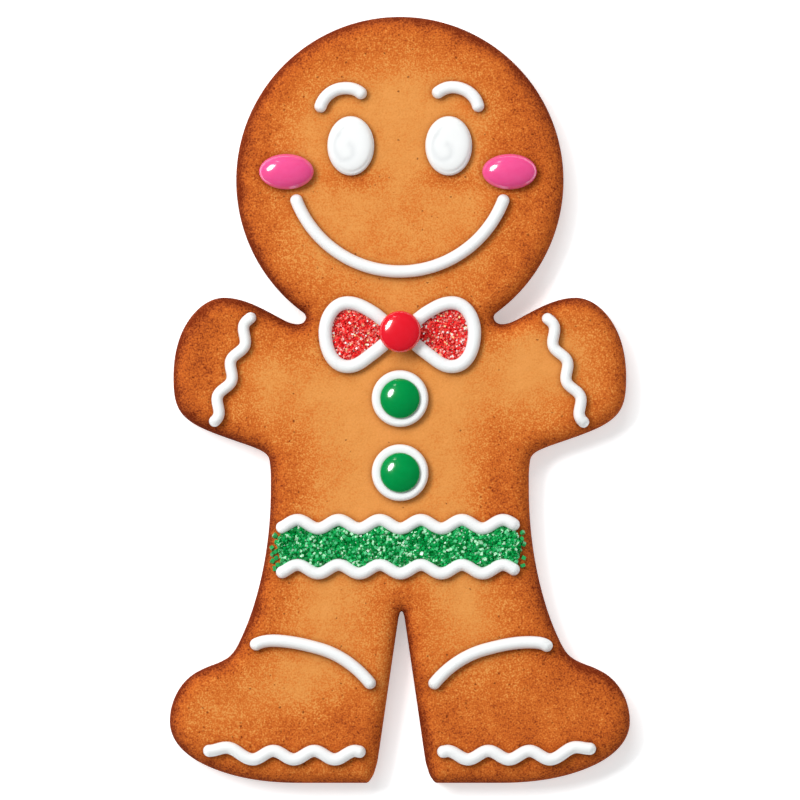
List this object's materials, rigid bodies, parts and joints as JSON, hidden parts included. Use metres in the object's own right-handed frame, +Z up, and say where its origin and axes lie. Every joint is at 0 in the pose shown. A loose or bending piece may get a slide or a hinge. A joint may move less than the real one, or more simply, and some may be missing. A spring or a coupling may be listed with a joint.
{
  "type": "gingerbread biscuit",
  "caption": "Gingerbread man biscuit lying face up, with a piped icing smile, wavy icing trims, a sugar-filled bow tie, candy buttons and a green sugar belt.",
  "frame": {"origin": "middle of the biscuit's outline box, on the surface that it rests on", "axes": "+X to the viewer's right across the figure, +Y from feet to head, +Z up out of the decorated face"},
  "size_m": [0.1014, 0.1686, 0.0135],
  "materials": {
    "gingerbread": "baked, dry and matt, with a fine crumb and darker browned edges",
    "royal_icing": "dried white royal icing, smooth with a soft sheen",
    "pink_candy": "glossy pink sugar shell",
    "red_candy": "glossy red sugar shell",
    "green_candy": "glossy green sugar shell",
    "green_sugar": "coarse green sanding sugar, sparkling",
    "red_sugar": "coarse red sanding sugar, sparkling"
  },
  "bodies": {
    "root": {"biscuit": "gingerbread", "smile": "royal_icing", "brow_left": "royal_icing", "brow_right": "royal_icing", "eye_left": "royal_icing", "eye_right": "royal_icing", "cheek_left": "pink_candy", "cheek_right": "pink_candy", "sleeve_line_left": "royal_icing", "sleeve_line_right": "royal_icing", "bow_loop_left": "royal_icing", "bow_loop_right": "royal_icing", "bow_sugar_left": "red_sugar", "bow_sugar_right": "red_sugar", "bow_candy": "red_candy", "button_icing_upper": "royal_icing", "button_icing_lower": "royal_icing", "button_candy_upper": "green_candy", "button_candy_lower": "green_candy", "belt_line_upper": "royal_icing", "belt_line_lower": "royal_icing", "belt_sugar": "green_sugar", "boot_line_left": "royal_icing", "boot_line_right": "royal_icing", "hem_line_left": "royal_icing", "hem_line_right": "royal_icing"}
  },
  "joints": []
}
